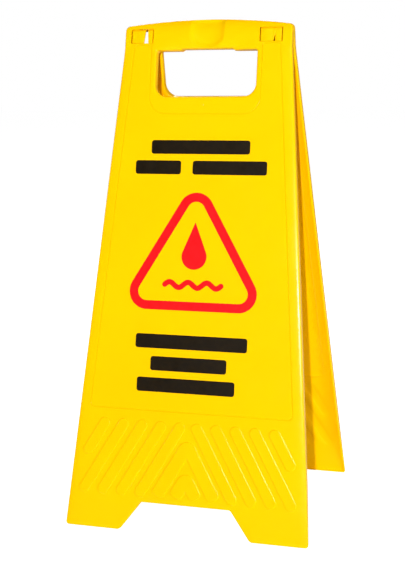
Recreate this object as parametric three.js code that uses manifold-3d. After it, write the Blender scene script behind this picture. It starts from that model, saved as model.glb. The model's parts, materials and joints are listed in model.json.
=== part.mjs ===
// Folding A-frame wet floor sign: two moulded plastic leaves that pivot on four short pins
// just under the grip. Millimetres, +Z up, the front leaf faces -Y, the floor is z = 0.
import * as THREE from 'three';
import { mergeVertices } from 'three/addons/utils/BufferGeometryUtils.js';
import Module from 'manifold-3d';

const wasm = await Module();
wasm.setup();

// ---------------------------------------------------------------- driving dimensions
const FOOT_WIDTH = 300;
const FLOOR_SPREAD = 270;
const LEAF_LENGTH = 616.2;
const LEAN = THREE.MathUtils.degToRad(12.05);
const SIDE_TAPER = 0.08;
const TAPER_TOP = 583;
const WALL = 2.5;
const GAP = 0.3;
const EDGE_ROUND = 1.5;
const SEGMENT_ANGLE = THREE.MathUtils.degToRad(22.5);

// leaf outline
const FOOT_RADIUS = 4;
const SHOULDER_RADIUS = 6;
const ARCH_DROP = 6.8 / 98 ** 2;
const ARCH_STEP = 20;
const FOOT_CUT = { floorHalf: 80.8, topHalf: 55.2, height: 35.2, floorRadius: 8, topRadius: 4 };
const FOOT_RIM = { depth: 3.5, fullAt: 70 };

// hand opening and grip
const OPENING = { half: 62.5, bottom: 522.5, top: 578.8, radius: 16, topRadius: 1.5 };
const OPENING_NOTCH = { half: 31, slope: 3, height: 1.8 };
const GRIP_CENTRE = 596;
const GRIP_HALF = 23.8;
const GROOVE = { halfWidth: 20.8, depth: 2.1 };

// engraved line round the label
const LABEL = { margin: 13.3, bottom: 145.4, top: 585.5, innerHalf: 68.6, innerBottom: 501.6 };
const LABEL_RADIUS = { bottom: 6, inner: 20, ear: 2 };
const LINE_WIDTH = 1;
const LINE_DEPTH = 0.5;

// raised chevron pads above the feet
const PAD = { halfWidth: 6.5, height: 1, top: 127, bottom: 47.8, first: 10.5, pitch: 23.6 };
const PAD_LEAN = THREE.MathUtils.degToRad(30);
const LONG_PADS = 4;
const SHORT_PAD_BOTTOM = 93.5;
const CHEVRON = { halfWidth: 7.7, outerRadius: 11, apexes: [106.6, 68] };

// hinge: windows in the front leaf, hooks on the rear leaf, all as ranges across the sign
const HINGE_UP = GRIP_CENTRE;
const PIN_RADIUS = 2.5;
const HOOK_RADIUS = 10.2;
const FINGER = { radius: 12.1, face: 0.6, low: 587.9, high: 604.2, tongue: 2.5 };
const KNUCKLE_RADIUS = 6;
const SNAP_SLOT = 4.4;
const WEB_WIDTH = 5;
const WINDOW_LOW = 587.5;
const WINDOW_HIGH = 604.7;
const SLOT_HIGH = 604.2;
const HINGES = [
  { side: 'left', window: [-95.7, -67.2], hooks: [[-94.6, -87.2], [-73.2, -68.5]],
    knuckles: [[-98.8, -96], [-66.9, -62.9]], slots: [[-87.6, -74]],
    tongues: [{ low: [-88.2, -79.6], high: [-88.2, -77.6] }, { low: [-73.9, -72.7], high: [-74.9, -72.7] }] },
  { side: 'right', window: [64.4, 92.3], hooks: [[65.5, 80.4], [83, 91]],
    knuckles: [[60.1, 64.1], [92.6, 98.8]], slots: [],
    tongues: [{ low: [79.8, 80.8], high: [79.8, 84.8] }] },
];

// printed marks: thin solids just off the outer face
const INK = { thickness: 0.25, lift: 0.1 };
const BAR_RADIUS = 3;
const TEXT_BARS = [
  { centre: -1.5, width: 122, low: 453.5, height: 16.5 },
  { centre: -53, width: 57, low: 429, height: 16.5 },
  { centre: 35.5, width: 91, low: 429, height: 16.5 },
  { centre: -2, width: 138, low: 220, height: 17 },
  { centre: -4, width: 94, low: 193.5, height: 17 },
  { centre: -6.5, width: 121, low: 168, height: 17 },
];
const TRIANGLE = { centre: -3, low: 288.3, high: 385.3, half: 57, outer: 22, inner: 11.2 };
const DROP = { low: 331, high: 372, radius: 15.5 };
const WAVE = { low: 297, half: 38, height: 6.5, swing: 3.2, crests: 3, steps: 36 };

// ---------------------------------------------------------------- derived positions
const HALF_SPREAD = FLOOR_SPREAD / 2;
const HINGE_IN = (HALF_SPREAD - HINGE_UP * Math.sin(LEAN)) / Math.cos(LEAN);
const DEPTH = HINGE_IN - GAP / 2;
const BORE_RADIUS = PIN_RADIUS + GAP;

// A leaf is drawn flat: x across, y up the outer face, z out of the face (depth is -z).
const LEAF_TO_WORLD = new THREE.Matrix4()
  .makeTranslation(0, -HALF_SPREAD, 0)
  .multiply(new THREE.Matrix4().makeRotationX(Math.PI / 2 - LEAN));
const WORLD_TO_LEAF = LEAF_TO_WORLD.clone().invert();
const HALF_TURN = new THREE.Matrix4().makeRotationZ(Math.PI);
const FRONT_TO_REAR = WORLD_TO_LEAF.clone().multiply(HALF_TURN).multiply(LEAF_TO_WORLD);

const halfWidthAt = (up) => FOOT_WIDTH / 2 - SIDE_TAPER * Math.min(up, TAPER_TOP);
const archAt = (across) => LEAF_LENGTH - ARCH_DROP * across ** 2;

// ---------------------------------------------------------------- solids and outlines
function toSolid(geometry) {
  geometry.deleteAttribute('uv');
  geometry.deleteAttribute('normal');
  const welded = mergeVertices(geometry, 1e-4);
  return new wasm.Manifold(new wasm.Mesh({
    numProp: 3,
    vertProperties: new Float32Array(welded.attributes.position.array),
    triVerts: new Uint32Array(welded.index.array),
  }));
}

function toGeometry(solid) {
  const mesh = solid.getMesh();
  const geometry = new THREE.BufferGeometry();
  geometry.setAttribute('position', new THREE.Float32BufferAttribute(mesh.vertProperties, 3));
  geometry.setIndex(Array.from(mesh.triVerts));
  return geometry;
}

// Moves every edge of a counter-clockwise outline inward and keeps its rounds concentric.
function inset(corners, distance) {
  return corners.map((corner, index) => {
    const before = corners.at(index - 1);
    const after = corners[(index + 1) % corners.length];
    const incoming = new THREE.Vector2(corner.x - before.x, corner.y - before.y).normalize();
    const outgoing = new THREE.Vector2(after.x - corner.x, after.y - corner.y).normalize();
    const turn = Math.asin(THREE.MathUtils.clamp(incoming.cross(outgoing), -1, 1));
    const bisector = new THREE.Vector2(-incoming.y - outgoing.y, incoming.x + outgoing.x);
    const reach = 2 * distance / bisector.lengthSq();
    const radius = corner.r === 0 ? 0 : Math.max(corner.r - Math.sign(turn) * distance, WALL / 5);
    return { x: corner.x + bisector.x * reach, y: corner.y + bisector.y * reach, r: radius };
  });
}

// Points of an outline with each corner replaced by an arc of its own radius.
function rounded(corners) {
  const points = [];
  corners.forEach((corner, index) => {
    const here = new THREE.Vector2(corner.x, corner.y);
    const before = corners.at(index - 1);
    const after = corners[(index + 1) % corners.length];
    const incoming = here.clone().sub(new THREE.Vector2(before.x, before.y)).normalize();
    const outgoing = new THREE.Vector2(after.x, after.y).sub(here).normalize();
    const turn = Math.atan2(incoming.cross(outgoing), incoming.dot(outgoing));
    if (corner.r === 0) {
      points.push(here);
      return;
    }
    const tangent = corner.r * Math.tan(Math.abs(turn) / 2);
    const start = here.clone().addScaledVector(incoming, -tangent);
    const toCentre = new THREE.Vector2(-incoming.y, incoming.x).multiplyScalar(Math.sign(turn) * corner.r);
    const centre = start.clone().add(toCentre);
    const steps = Math.max(2, Math.ceil(Math.abs(turn) / SEGMENT_ANGLE));
    for (let step = 0; step <= steps; step += 1) {
      points.push(start.clone().rotateAround(centre, turn * step / steps));
    }
  });
  return points;
}

function shapeOf(corners, hole) {
  const shape = new THREE.Shape(rounded(corners));
  if (hole) {
    shape.holes.push(new THREE.Path(rounded(hole)));
  }
  return shape;
}

// Solid between two depths below the outer face; a round softens the outer edge.
function slab(shape, from, to, round = 0, roundSteps = 2) {
  const spare = 2 * round;
  const geometry = new THREE.ExtrudeGeometry(shape, {
    depth: to - from - round + spare,
    bevelEnabled: round > 0,
    bevelThickness: round,
    bevelSize: round,
    bevelOffset: -round,
    bevelSegments: roundSteps,
  });
  geometry.translate(0, 0, -to - spare);
  const solid = toSolid(geometry);
  return round > 0 ? solid.subtract(block([-999, 999], [-999, 999], [to, to + 99])) : solid;
}

// Profile of [depth, up] points carried across the sign between two positions.
function across(profile, [from, to]) {
  const shape = new THREE.Shape(profile.map(([depth, up]) => new THREE.Vector2(depth, up)));
  const geometry = new THREE.ExtrudeGeometry(shape, { depth: to - from, bevelEnabled: false });
  geometry.translate(0, 0, from);
  geometry.rotateY(Math.PI / 2);
  return toSolid(geometry);
}

function block([left, right], [low, high], [shallow, deep], placement = new THREE.Matrix4()) {
  const geometry = new THREE.BoxGeometry(right - left, high - low, deep - shallow);
  geometry.translate((left + right) / 2, (low + high) / 2, -(shallow + deep) / 2);
  geometry.applyMatrix4(placement);
  return toSolid(geometry);
}

// Cylinder along the hinge line between two positions across the sign.
function hingeCylinder(radius, [from, to], segments) {
  const geometry = new THREE.CylinderGeometry(radius, radius, to - from, segments);
  geometry.rotateZ(Math.PI / 2);
  geometry.translate((from + to) / 2, HINGE_UP, -HINGE_IN);
  return toSolid(geometry);
}

// ---------------------------------------------------------------- outlines of a leaf
function leafOutline() {
  const shoulder = halfWidthAt(TAPER_TOP);
  const arch = [];
  for (let side = shoulder - ARCH_STEP; side > -shoulder + ARCH_STEP / 2; side -= ARCH_STEP) {
    arch.push({ x: side, y: archAt(side), r: 0 });
  }
  return [
    { x: -FOOT_WIDTH / 2, y: 0, r: FOOT_RADIUS },
    { x: -FOOT_CUT.floorHalf, y: 0, r: FOOT_CUT.floorRadius },
    { x: -FOOT_CUT.topHalf, y: FOOT_CUT.height, r: FOOT_CUT.topRadius },
    { x: FOOT_CUT.topHalf, y: FOOT_CUT.height, r: FOOT_CUT.topRadius },
    { x: FOOT_CUT.floorHalf, y: 0, r: FOOT_CUT.floorRadius },
    { x: FOOT_WIDTH / 2, y: 0, r: FOOT_RADIUS },
    { x: shoulder, y: TAPER_TOP, r: 0 },
    { x: shoulder, y: archAt(shoulder), r: SHOULDER_RADIUS },
    ...arch,
    { x: -shoulder, y: archAt(shoulder), r: SHOULDER_RADIUS },
    { x: -shoulder, y: TAPER_TOP, r: 0 },
  ];
}

function openingOutline() {
  const notchTop = OPENING.top + OPENING_NOTCH.height;
  const notchEnd = OPENING_NOTCH.half + OPENING_NOTCH.slope;
  return [
    { x: -OPENING.half, y: OPENING.bottom, r: OPENING.radius },
    { x: OPENING.half, y: OPENING.bottom, r: OPENING.radius },
    { x: OPENING.half, y: OPENING.top, r: OPENING.topRadius },
    { x: notchEnd, y: OPENING.top, r: 0 },
    { x: OPENING_NOTCH.half, y: notchTop, r: 0 },
    { x: -OPENING_NOTCH.half, y: notchTop, r: 0 },
    { x: -notchEnd, y: OPENING.top, r: 0 },
    { x: -OPENING.half, y: OPENING.top, r: OPENING.topRadius },
  ];
}

function labelOutline() {
  const bottomHalf = halfWidthAt(LABEL.bottom) - LABEL.margin;
  const topHalf = halfWidthAt(LABEL.top) - LABEL.margin;
  return [
    { x: -bottomHalf, y: LABEL.bottom, r: LABEL_RADIUS.bottom },
    { x: bottomHalf, y: LABEL.bottom, r: LABEL_RADIUS.bottom },
    { x: topHalf, y: LABEL.top, r: LABEL_RADIUS.ear },
    { x: LABEL.innerHalf, y: LABEL.top, r: LABEL_RADIUS.ear },
    { x: LABEL.innerHalf, y: LABEL.innerBottom, r: LABEL_RADIUS.inner },
    { x: -LABEL.innerHalf, y: LABEL.innerBottom, r: LABEL_RADIUS.inner },
    { x: -LABEL.innerHalf, y: LABEL.top, r: LABEL_RADIUS.ear },
    { x: -topHalf, y: LABEL.top, r: LABEL_RADIUS.ear },
  ];
}

// ---------------------------------------------------------------- the moulded shell
// Half-oval section of the grip; a wall of zero gives its outer skin.
function gripProfile(wall, fromAngle, toAngle) {
  const steps = 12;
  const points = [];
  for (let step = 0; step <= steps; step += 1) {
    const angle = fromAngle + (toAngle - fromAngle) * step / steps;
    const depth = DEPTH - (DEPTH - wall) * Math.cos(angle);
    points.push([depth, GRIP_CENTRE + (GRIP_HALF - wall) * Math.sin(angle)]);
  }
  return points;
}

// Everything outside the grip skin, above its centre line or below it.
function outsideGrip(wall, upward, range) {
  const edge = GRIP_CENTRE + upward * (GRIP_HALF - wall);
  const skin = gripProfile(wall, 0, upward * Math.PI / 2);
  const far = edge + upward * 2 * GRIP_HALF;
  const profile = [[-GRIP_HALF, GRIP_CENTRE], ...skin, [DEPTH, far], [-GRIP_HALF, far]];
  return across(upward > 0 ? profile : profile.reverse(), range);
}

// Shallow upright hollow across the middle of the grip; an offset gives the wall behind it.
function gripGroove(offset) {
  const radius = (GROOVE.halfWidth ** 2 + GROOVE.depth ** 2) / (2 * GROOVE.depth);
  const geometry = new THREE.CylinderGeometry(radius + offset, radius + offset, 3 * GRIP_HALF, 96);
  geometry.translate(0, GRIP_CENTRE, radius - GROOVE.depth);
  return toSolid(geometry);
}

function leafShell() {
  const full = [-FOOT_WIDTH, FOOT_WIDTH];
  const gripRange = [-OPENING.half - WALL, OPENING.half + WALL];
  const opening = openingOutline();
  const body = slab(shapeOf(leafOutline(), opening), 0, DEPTH, EDGE_ROUND)
    .subtract(outsideGrip(0, 1, full))
    .subtract(outsideGrip(0, -1, [-OPENING.half, OPENING.half])
      .subtract(block(full, [0, OPENING.top - EDGE_ROUND], [-99, 99])))
    .subtract(gripGroove(0));
  const hollow = slab(shapeOf(inset(leafOutline(), WALL), inset(opening, -WALL)), WALL, 2 * DEPTH)
    .subtract(outsideGrip(WALL, 1, full))
    .subtract(outsideGrip(WALL, -1, gripRange)
      .subtract(block(full, [0, OPENING.bottom], [-99, 99])))
    .subtract(gripGroove(WALL))
    .subtract(worldBlock(full, [-FLOOR_SPREAD, FLOOR_SPREAD], [-99, WALL]));
  return body.subtract(hollow);
}

// ---------------------------------------------------------------- surface features
function capsule(from, to, halfWidth) {
  const along = new THREE.Vector2(to[0] - from[0], to[1] - from[1]).normalize();
  const side = new THREE.Vector2(-along.y, along.x).multiplyScalar(halfWidth);
  const cap = along.multiplyScalar(halfWidth);
  const radius = halfWidth * 0.98;
  return [
    { x: from[0] - cap.x - side.x, y: from[1] - cap.y - side.y, r: radius },
    { x: to[0] + cap.x - side.x, y: to[1] + cap.y - side.y, r: radius },
    { x: to[0] + cap.x + side.x, y: to[1] + cap.y + side.y, r: radius },
    { x: from[0] - cap.x + side.x, y: from[1] - cap.y + side.y, r: radius },
  ];
}

function chevron(apex) {
  const { halfWidth, outerRadius } = CHEVRON;
  const low = PAD.bottom - PAD.halfWidth / 2;
  const foot = (apex - low) * Math.tan(PAD_LEAN);
  const out = { x: Math.cos(PAD_LEAN) * halfWidth, y: Math.sin(PAD_LEAN) * halfWidth };
  const rise = halfWidth / Math.sin(PAD_LEAN);
  const footRadius = halfWidth * 0.6;
  return [
    { x: -foot - out.x, y: low + out.y, r: footRadius },
    { x: -foot + out.x, y: low - out.y, r: footRadius },
    { x: 0, y: apex - rise, r: 1 },
    { x: foot - out.x, y: low - out.y, r: footRadius },
    { x: foot + out.x, y: low + out.y, r: footRadius },
    { x: 0, y: apex + rise, r: outerRadius },
  ];
}

function padOutlines() {
  const outlines = CHEVRON.apexes.map(chevron);
  const slope = Math.tan(PAD_LEAN);
  for (let pad = 0; pad <= LONG_PADS; pad += 1) {
    const start = PAD.first + pad * PAD.pitch;
    const bottom = pad < LONG_PADS ? PAD.bottom : SHORT_PAD_BOTTOM;
    const end = start + (PAD.top - bottom) * slope;
    outlines.push(capsule([start, PAD.top], [end, bottom], PAD.halfWidth));
    outlines.push(capsule([-start, PAD.top], [-end, bottom], PAD.halfWidth));
  }
  return outlines;
}

function dressedLeaf() {
  const half = LINE_WIDTH / 2;
  const line = shapeOf(inset(labelOutline(), -half), inset(labelOutline(), half));
  let leaf = leafShell().subtract(slab(line, -1, LINE_DEPTH));
  for (const outline of padOutlines()) {
    leaf = leaf.add(slab(shapeOf(outline), -PAD.height, WALL / 2, PAD.height / 2, 1));
  }
  return leaf;
}

function worldBlock([left, right], [front, back], [low, high]) {
  const geometry = new THREE.BoxGeometry(right - left, back - front, high - low);
  geometry.translate((left + right) / 2, (front + back) / 2, (low + high) / 2);
  geometry.applyMatrix4(WORLD_TO_LEAF);
  return toSolid(geometry);
}

// The rim gets shallower towards the feet, so that folded leaves lie flat together.
function footRimWedge(range) {
  const beyond = 2 * DEPTH;
  return across([
    [FOOT_RIM.depth, -FOOT_RIM.fullAt], [beyond, -FOOT_RIM.fullAt], [beyond, FOOT_RIM.fullAt],
    [DEPTH, FOOT_RIM.fullAt], [FOOT_RIM.depth, 0],
  ], range);
}

// Flat soles on the floor, and the top cut back to the stop face the two leaves share.
function trimmedLeaf() {
  const full = [-FOOT_WIDTH, FOOT_WIDTH];
  return dressedLeaf()
    .subtract(footRimWedge(full))
    .subtract(worldBlock(full, [-FLOOR_SPREAD, FLOOR_SPREAD], [-99, 0]))
    .subtract(worldBlock(full, [-GAP / 2, FLOOR_SPREAD], [0, 2 * LEAF_LENGTH]));
}

// ---------------------------------------------------------------- hinge
function web(halfHeight, range) {
  const low = HINGE_UP - halfHeight;
  const high = HINGE_UP + halfHeight;
  return block(range, [low, high], [WALL / 2, HINGE_IN]);
}

function frontLeaf() {
  let leaf = trimmedLeaf();
  for (const hinge of HINGES) {
    leaf = leaf
      .subtract(block(hinge.window, [WINDOW_LOW, WINDOW_HIGH], [-1, DEPTH / 2]))
      .subtract(hingeCylinder(FINGER.radius + GAP, hinge.window, 72));
    for (const range of hinge.knuckles) {
      leaf = leaf.add(web(KNUCKLE_RADIUS, range)).add(hingeCylinder(KNUCKLE_RADIUS, range, 32));
    }
    for (const [from, to] of hinge.knuckles) {
      leaf = leaf.subtract(hingeCylinder(BORE_RADIUS, [from - GAP / 2, to + GAP / 2], 24));
    }
  }
  return leaf;
}

// The rear leaf is drawn in its own flat frame, so positions across it are reversed.
const reversed = ([from, to]) => [-to, -from];

// Hook seen through a window: an open ring whose front is flat, in line with the front face.
function hookFinger(range) {
  const above = [HINGE_UP, HINGE_UP + 2 * FINGER.radius];
  const below = [FINGER.low, HINGE_UP];
  const brow = hingeCylinder(FINGER.radius, reversed(range), 72)
    .intersect(block(range, above, [FINGER.face, HINGE_IN], FRONT_TO_REAR));
  return hingeCylinder(HOOK_RADIUS, reversed(range), 64)
    .add(brow)
    .add(block(range, below, [FINGER.face, HINGE_IN - 2 * PIN_RADIUS], FRONT_TO_REAR));
}

// Thin tapered flap beside a hook that narrows the see-through gap towards the top; its upper
// front corner is rounded to the same radius as the hooks, so that it turns clear of the window.
function fingerTongue({ low, high }) {
  const shape = new THREE.Shape([
    new THREE.Vector2(low[0], FINGER.low),
    new THREE.Vector2(low[1], FINGER.low),
    new THREE.Vector2(high[1], FINGER.high),
    new THREE.Vector2(high[0], FINGER.high),
  ]);
  const span = [Math.min(low[0], high[0]) - 1, Math.max(low[1], high[1]) + 1];
  const above = [HINGE_UP, HINGE_UP + 2 * FINGER.radius];
  const corner = block(span, above, [FINGER.face - 1, HINGE_IN], FRONT_TO_REAR)
    .subtract(hingeCylinder(FINGER.radius, reversed(span), 72));
  return slab(shape, FINGER.face, FINGER.face + FINGER.tongue)
    .transform(FRONT_TO_REAR.elements)
    .subtract(corner);
}

function rearLeaf() {
  let leaf = trimmedLeaf();
  for (const { hooks, tongues, slots } of HINGES) {
    for (const slot of slots) {
      leaf = leaf.subtract(block(reversed(slot), [WINDOW_LOW, SLOT_HIGH], [-1, DEPTH / 2]));
    }
    for (const hook of hooks) {
      const range = reversed(hook);
      const root = [Math.max(range[0], range[1] - WEB_WIDTH), range[1]];
      const mouth = [HINGE_UP - 2 * HOOK_RADIUS, HINGE_UP];
      const bore = [range[0] - 1, range[1] + 1];
      leaf = leaf
        .add(web(KNUCKLE_RADIUS, root))
        .add(hookFinger(hook))
        .subtract(hingeCylinder(BORE_RADIUS, bore, 24))
        .subtract(block(bore, mouth, [HINGE_IN - SNAP_SLOT / 2, HINGE_IN + SNAP_SLOT / 2]));
    }
    for (const tongue of tongues) {
      leaf = leaf.add(fingerTongue(tongue));
    }
  }
  return leaf;
}

// One pin for each hook: it starts in the knuckle next to that hook and ends inside the hook.
function hingePin(knuckle, hook) {
  const from = Math.min(knuckle[0], hook[0]) + GAP;
  const to = Math.max(knuckle[1], hook[1]) - GAP;
  const chamfer = PIN_RADIUS / 5;
  const profile = [
    [0, from], [PIN_RADIUS - chamfer, from], [PIN_RADIUS, from + chamfer],
    [PIN_RADIUS, to - chamfer], [PIN_RADIUS - chamfer, to], [0, to],
  ];
  const geometry = new THREE.LatheGeometry(profile.map(([x, y]) => new THREE.Vector2(x, y)), 24);
  geometry.rotateZ(-Math.PI / 2);
  geometry.translate(0, HINGE_UP, -HINGE_IN);
  return toSolid(geometry);
}

// ---------------------------------------------------------------- printed marks
const inked = (shape) => slab(shape, -INK.lift - INK.thickness, -INK.lift);

function textBar({ centre, width, low, height }) {
  const left = centre - width / 2;
  const right = centre + width / 2;
  return inked(shapeOf([
    { x: left, y: low, r: BAR_RADIUS },
    { x: right, y: low, r: BAR_RADIUS },
    { x: right, y: low + height, r: BAR_RADIUS },
    { x: left, y: low + height, r: BAR_RADIUS },
  ]));
}

// Corners of the three-sided frame at a distance from its corner centres.
function triangleOutline(reach) {
  const { centre, low, high, half } = TRIANGLE;
  const flat = [{ x: centre - half, y: low, r: reach }, { x: centre + half, y: low, r: reach },
    { x: centre, y: high, r: reach }];
  return inset(flat.map((corner) => ({ ...corner, r: 1e-3 })), -reach)
    .map((corner) => ({ ...corner, r: reach }));
}

function warningTriangle() {
  return inked(shapeOf(triangleOutline(TRIANGLE.outer), triangleOutline(TRIANGLE.inner)));
}

function dropSymbol() {
  const { low, high, radius } = DROP;
  const contact = Math.acos(radius / (high - low));
  const points = [new THREE.Vector2(TRIANGLE.centre, high)];
  const steps = 24;
  for (let step = 0; step <= steps; step += 1) {
    const angle = Math.PI / 2 + contact + (2 * Math.PI - 2 * contact) * step / steps;
    const x = TRIANGLE.centre + radius * Math.cos(angle);
    points.push(new THREE.Vector2(x, low + radius * Math.sin(angle)));
  }
  return inked(new THREE.Shape(points));
}

function floorWave() {
  const { low, half, height, swing, crests, steps } = WAVE;
  const upper = [];
  const lower = [];
  for (let step = 0; step <= steps; step += 1) {
    const x = TRIANGLE.centre - half + 2 * half * step / steps;
    const y = low + swing * Math.sin(2 * Math.PI * crests * step / steps);
    lower.push(new THREE.Vector2(x, y - height / 2));
    upper.unshift(new THREE.Vector2(x, y + height / 2));
  }
  return inked(new THREE.Shape([...lower, ...upper]));
}

// ---------------------------------------------------------------- assembly
const YELLOW = new THREE.MeshStandardMaterial({ color: '#ffdc00', roughness: 0.35, metalness: 0 });
const PIN_YELLOW = new THREE.MeshStandardMaterial({ color: '#f2cf00', roughness: 0.4, metalness: 0 });
const BLACK_INK = new THREE.MeshStandardMaterial({ color: '#1e1400', roughness: 0.5, metalness: 0 });
const RED_INK = new THREE.MeshStandardMaterial({ color: '#ff1923', roughness: 0.5, metalness: 0 });

const sign = new THREE.Group();
sign.name = 'wet_floor_sign';

function place(name, solid, material, isRear) {
  const geometry = toGeometry(solid);
  geometry.applyMatrix4(LEAF_TO_WORLD);
  if (isRear) {
    geometry.rotateZ(Math.PI);
  }
  geometry.computeVertexNormals();
  const mesh = new THREE.Mesh(geometry, material);
  mesh.name = name;
  sign.add(mesh);
}

function placePrint(leafName, isRear) {
  TEXT_BARS.forEach((bar, index) => {
    place(`${leafName}_text_bar_${index + 1}`, textBar(bar), BLACK_INK, isRear);
  });
  place(`${leafName}_warning_triangle`, warningTriangle(), RED_INK, isRear);
  place(`${leafName}_drop_symbol`, dropSymbol(), RED_INK, isRear);
  place(`${leafName}_floor_wave`, floorWave(), RED_INK, isRear);
}

place('front_leaf', frontLeaf(), YELLOW, false);
place('rear_leaf', rearLeaf(), YELLOW, true);
for (const { side, knuckles, hooks } of HINGES) {
  place(`hinge_pin_${side}_a`, hingePin(knuckles[0], hooks[0]), PIN_YELLOW, false);
  place(`hinge_pin_${side}_b`, hingePin(knuckles[1], hooks[1]), PIN_YELLOW, false);
}
placePrint('front', false);
placePrint('rear', true);

export default sign;
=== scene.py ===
"""Folding wet floor sign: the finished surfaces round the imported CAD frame.

Lengths are millimetres until a point is placed, because the mouldings are drawn that way.
A leaf is drawn flat: u across, w up its outer face, d in from that face.
"""
import json
import math

import bmesh
import bpy
import numpy as np
from mathutils import Matrix, Vector
from mathutils.geometry import delaunay_2d_cdt

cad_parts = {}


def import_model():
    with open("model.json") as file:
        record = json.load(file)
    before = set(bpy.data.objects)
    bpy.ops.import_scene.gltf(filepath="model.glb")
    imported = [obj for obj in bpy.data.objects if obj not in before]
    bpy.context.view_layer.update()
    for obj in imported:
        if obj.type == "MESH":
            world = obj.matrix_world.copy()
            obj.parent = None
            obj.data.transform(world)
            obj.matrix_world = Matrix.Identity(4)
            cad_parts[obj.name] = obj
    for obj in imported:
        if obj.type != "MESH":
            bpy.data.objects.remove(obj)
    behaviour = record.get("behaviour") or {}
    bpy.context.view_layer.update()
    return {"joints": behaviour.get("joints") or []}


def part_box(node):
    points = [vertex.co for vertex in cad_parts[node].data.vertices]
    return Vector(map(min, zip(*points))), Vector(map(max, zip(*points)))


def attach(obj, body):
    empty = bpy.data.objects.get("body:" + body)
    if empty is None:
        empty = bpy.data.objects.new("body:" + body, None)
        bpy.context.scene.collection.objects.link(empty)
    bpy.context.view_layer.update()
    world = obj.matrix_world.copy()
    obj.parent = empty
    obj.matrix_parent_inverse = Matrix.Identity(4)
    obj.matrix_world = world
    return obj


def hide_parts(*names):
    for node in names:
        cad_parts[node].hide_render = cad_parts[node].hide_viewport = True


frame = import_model()

MM = 0.001
HINGE = frame["joints"][0]

# ------------------------------------------------------------------ fineness of the meshes
SLIVER, MERGE_WITHIN = 0.0004, 0.00001
EDGE_SPACING, RELIEF_SPACING, MARK_SPACING, FINGER_SPACING = 2.5, 3.0, 4.0, 1.5
ARC_SPACING, SMALLEST_ARC_PLAN, FEWEST_ARC_STEPS, SMALLEST_ROUND = 1.2, 2.0, 3, 0.4
COARSE_SPACING, MARGIN_SPACING, FINE_SPACING = 7.0, 3.0, 1.9
COARSE_CLEAR, MARGIN_CLEAR, FINE_CLEAR, MARK_CLEAR = 3.0, 1.6, 1.1, 1.5
FINE_BELOW_OPENING_TOP = 8.0
SHARP_ANGLE = math.radians(50)

# ------------------------------------------------------------------ driving dimensions
LEAN = math.radians(-HINGE["range_deg"][0] / 2)
FOOT_HALF = 150.0
HALF_SPREAD = 135.0
SIDE_TAPER, TAPER_TOP = 0.08, 583.0
WALL = 2.5
GAP = 0.3

CROWN = 616.2
ARCH_DROP = 6.8 / 98 ** 2
ARCH_STEP = 10.0
FOOT_ROUND, SHOULDER_ROUND = 4.0, 6.0
FOOT_CUT_FLOOR, FOOT_CUT_TOP, FOOT_CUT_HEIGHT = 80.8, 55.2, 35.2
FOOT_CUT_FLOOR_ROUND, FOOT_CUT_TOP_ROUND = 8.0, 4.0
FOOT_RIM_DEPTH, FOOT_RIM_FULL_AT = 3.5, 70.0

OPENING_HALF, OPENING_LOW, OPENING_HIGH = 62.5, 522.5, 578.8
OPENING_ROUND, OPENING_TOP_ROUND = 16.0, 3.0
NOTCH_HALF, NOTCH_SLOPE, NOTCH_HEIGHT = 31.0, 3.0, 1.8

GRIP_UP = 596.0
GRIP_HALF = 23.8
GRIP_BLEND = 30.0
DISH_HALF, DISH_DEPTH, DISH_LOW_REACH = 20.8, 3.2, 14.5

EDGE_ROUND = 1.6
INNER_ROUND = 1.2
RIM_ROUND = 0.5
# at most these shares of a low wall are taken up by its outer and inner rounds
EDGE_ROUND_SHARE, INNER_ROUND_SHARE = 0.5, 0.4

LABEL_MARGIN, LABEL_LOW, LABEL_HIGH = 13.3, 145.4, 585.5
LABEL_INNER_HALF, LABEL_INNER_LOW = 68.6, 501.6
LABEL_ROUND, LABEL_INNER_ROUND, LABEL_EAR_ROUND = 6.0, 20.0, 2.0
LINE_HALF, LINE_DEPTH = 0.55, 0.8
MARGIN_ROLL, INNER_ROLL_SHARE = 0.8, 0.5
OUTER_SPARE, INNER_SPARE = 1.2, 0.25

PAD_HALF, PAD_HEIGHT, PAD_SINK = 6.5, 1.0, 0.3
PAD_TOP, PAD_LOW, SHORT_PAD_LOW = 127.0, 47.8, 93.5
PAD_FIRST, PAD_PITCH, LONG_PADS = 10.5, 23.6, 4
PAD_LEAN = math.radians(30.0)
PAD_END_ROUND = 0.98 * PAD_HALF
CHEVRON_HALF, CHEVRON_ROUND, CHEVRON_APEXES = 7.7, 11.0, (106.6, 68.0)
CHEVRON_END_ROUND, CHEVRON_INNER_ROUND = 0.6 * CHEVRON_HALF, 1.0
GATE_PLACE, GATE_RADIUS, GATE_HEIGHT = (-1.7, 513.0), 1.7, 0.3

WINDOW_LOW, WINDOW_HIGH, SLOT_HIGH = 587.5, 604.7, 602.5
WINDOWS = ((-95.7, -67.2), (64.4, 92.3))
REAR_SLOTS = ((-87.6, -74.0),)
WINDOW_ROUND = 0.8

HOOK_RADIUS, FINGER_RADIUS, KNUCKLE_RADIUS, PIN_RADIUS = 10.2, 12.1, 6.0, 2.5
HOOKS = ((-94.6, -87.2), (-73.2, -68.5), (65.5, 80.4), (83.0, 91.0))
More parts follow.
